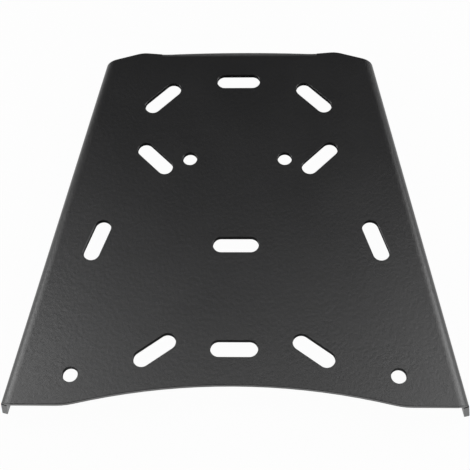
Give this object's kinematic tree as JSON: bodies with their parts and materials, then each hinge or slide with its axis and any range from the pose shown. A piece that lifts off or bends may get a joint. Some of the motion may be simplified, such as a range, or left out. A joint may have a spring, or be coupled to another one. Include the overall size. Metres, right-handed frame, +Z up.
{
  "type": "luggage rack extension plate",
  "caption": "Folded sheet plate that widens a motorbike's luggage rack, tapered, with down-turned sides, slots and bolt holes.",
  "frame": {"origin": "midway along the length and width, at the level of the flanges' lower edges", "axes": "+X across the plate, the longer way; +Y from the wide front edge to the narrow rear edge; +Z up"},
  "size_m": [0.2448, 0.2193, 0.021],
  "materials": {
    "black_powder_coat": "satin black powder coat on aluminium sheet, fine even texture"
  },
  "bodies": {
    "root": {"rack_plate": "black_powder_coat"}
  },
  "joints": []
}
